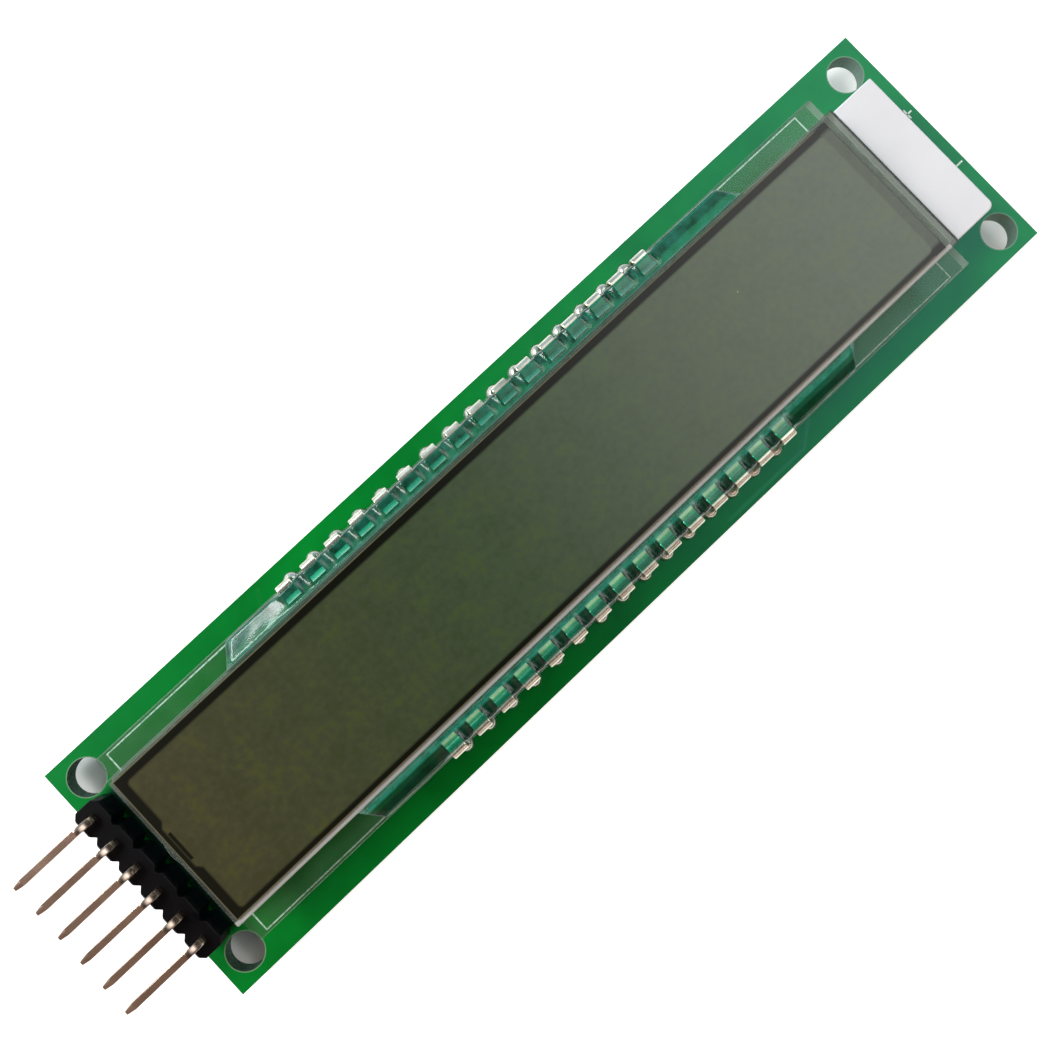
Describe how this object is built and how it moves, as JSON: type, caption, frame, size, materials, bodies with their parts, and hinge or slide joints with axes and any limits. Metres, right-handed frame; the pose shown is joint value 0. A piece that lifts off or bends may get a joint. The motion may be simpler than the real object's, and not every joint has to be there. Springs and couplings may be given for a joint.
{
  "type": "segment lcd module",
  "caption": "Slim segment liquid crystal module: clip-pinned glass cell over a side-lit light guide on a drilled green board, with a bent pin header at one end.",
  "frame": {"origin": "centre of the four mounting holes, on the underside of the board", "axes": "+Z towards the viewer, +X along the board from the header end to the lamp end, +Y across the board"},
  "size_m": [0.0975, 0.0238, 0.0094],
  "materials": {
    "board": "green solder mask on glass-fibre board",
    "black_plastic": "moulded, slightly glossy",
    "header_pin": "tin plated",
    "white_film": "matt film",
    "clear_acrylic": "clear, polished",
    "white_plastic": "matt moulded",
    "lamp_strip": "white solder mask",
    "lamp": "phosphor filled lens",
    "tinned_wire": "tin plated",
    "polarizer": "smooth film",
    "glass": "clear float glass",
    "seal": "printed line",
    "clear_resin": "clear, cured with a wet gloss",
    "glass_pin": "bright tin plated",
    "chip_body": "moulded epoxy",
    "resistor": "glazed, with tinned ends",
    "capacitor": "fired, with tinned ends",
    "solder": "bright solder"
  },
  "bodies": {
    "root": {"board": "board", "header_insulator": "black_plastic", "header_pin_1": "header_pin", "header_pin_2": "header_pin", "header_pin_3": "header_pin", "header_pin_4": "header_pin", "header_pin_5": "header_pin", "header_pin_6": "header_pin", "reflector_film": "white_film", "diffuser_film": "white_film", "light_guide": "clear_acrylic", "lamp_housing": "white_plastic", "lamp_strip": "lamp_strip", "lamps": "lamp", "lamp_leads": "tinned_wire", "driver_chip_leads": "tinned_wire", "rear_polarizer": "polarizer", "front_polarizer": "polarizer", "rear_glass": "glass", "front_glass": "glass", "cell_seal": "seal", "end_plug": "clear_resin", "upper_resin": "clear_resin", "lower_resin": "clear_resin", "upper_pin_1": "glass_pin", "upper_pin_2": "glass_pin", "upper_pin_3": "glass_pin", "upper_pin_4": "glass_pin", "upper_pin_5": "glass_pin", "upper_pin_6": "glass_pin", "upper_pin_7": "glass_pin", "upper_pin_8": "glass_pin", "upper_pin_9": "glass_pin", "upper_pin_10": "glass_pin", "upper_pin_11": "glass_pin", "upper_pin_12": "glass_pin", "upper_pin_13": "glass_pin", "upper_pin_14": "glass_pin", "upper_pin_15": "glass_pin", "upper_pin_16": "glass_pin", "lower_pin_1": "glass_pin", "lower_pin_2": "glass_pin", "lower_pin_3": "glass_pin", "lower_pin_4": "glass_pin", "lower_pin_5": "glass_pin", "lower_pin_6": "glass_pin", "lower_pin_7": "glass_pin", "lower_pin_8": "glass_pin", "lower_pin_9": "glass_pin", "lower_pin_10": "glass_pin", "lower_pin_11": "glass_pin", "lower_pin_12": "glass_pin", "lower_pin_13": "glass_pin", "lower_pin_14": "glass_pin", "lower_pin_15": "glass_pin", "driver_chip": "chip_body", "series_resistor": "resistor", "supply_capacitor": "capacitor", "solder_joints": "solder"}
  },
  "joints": []
}
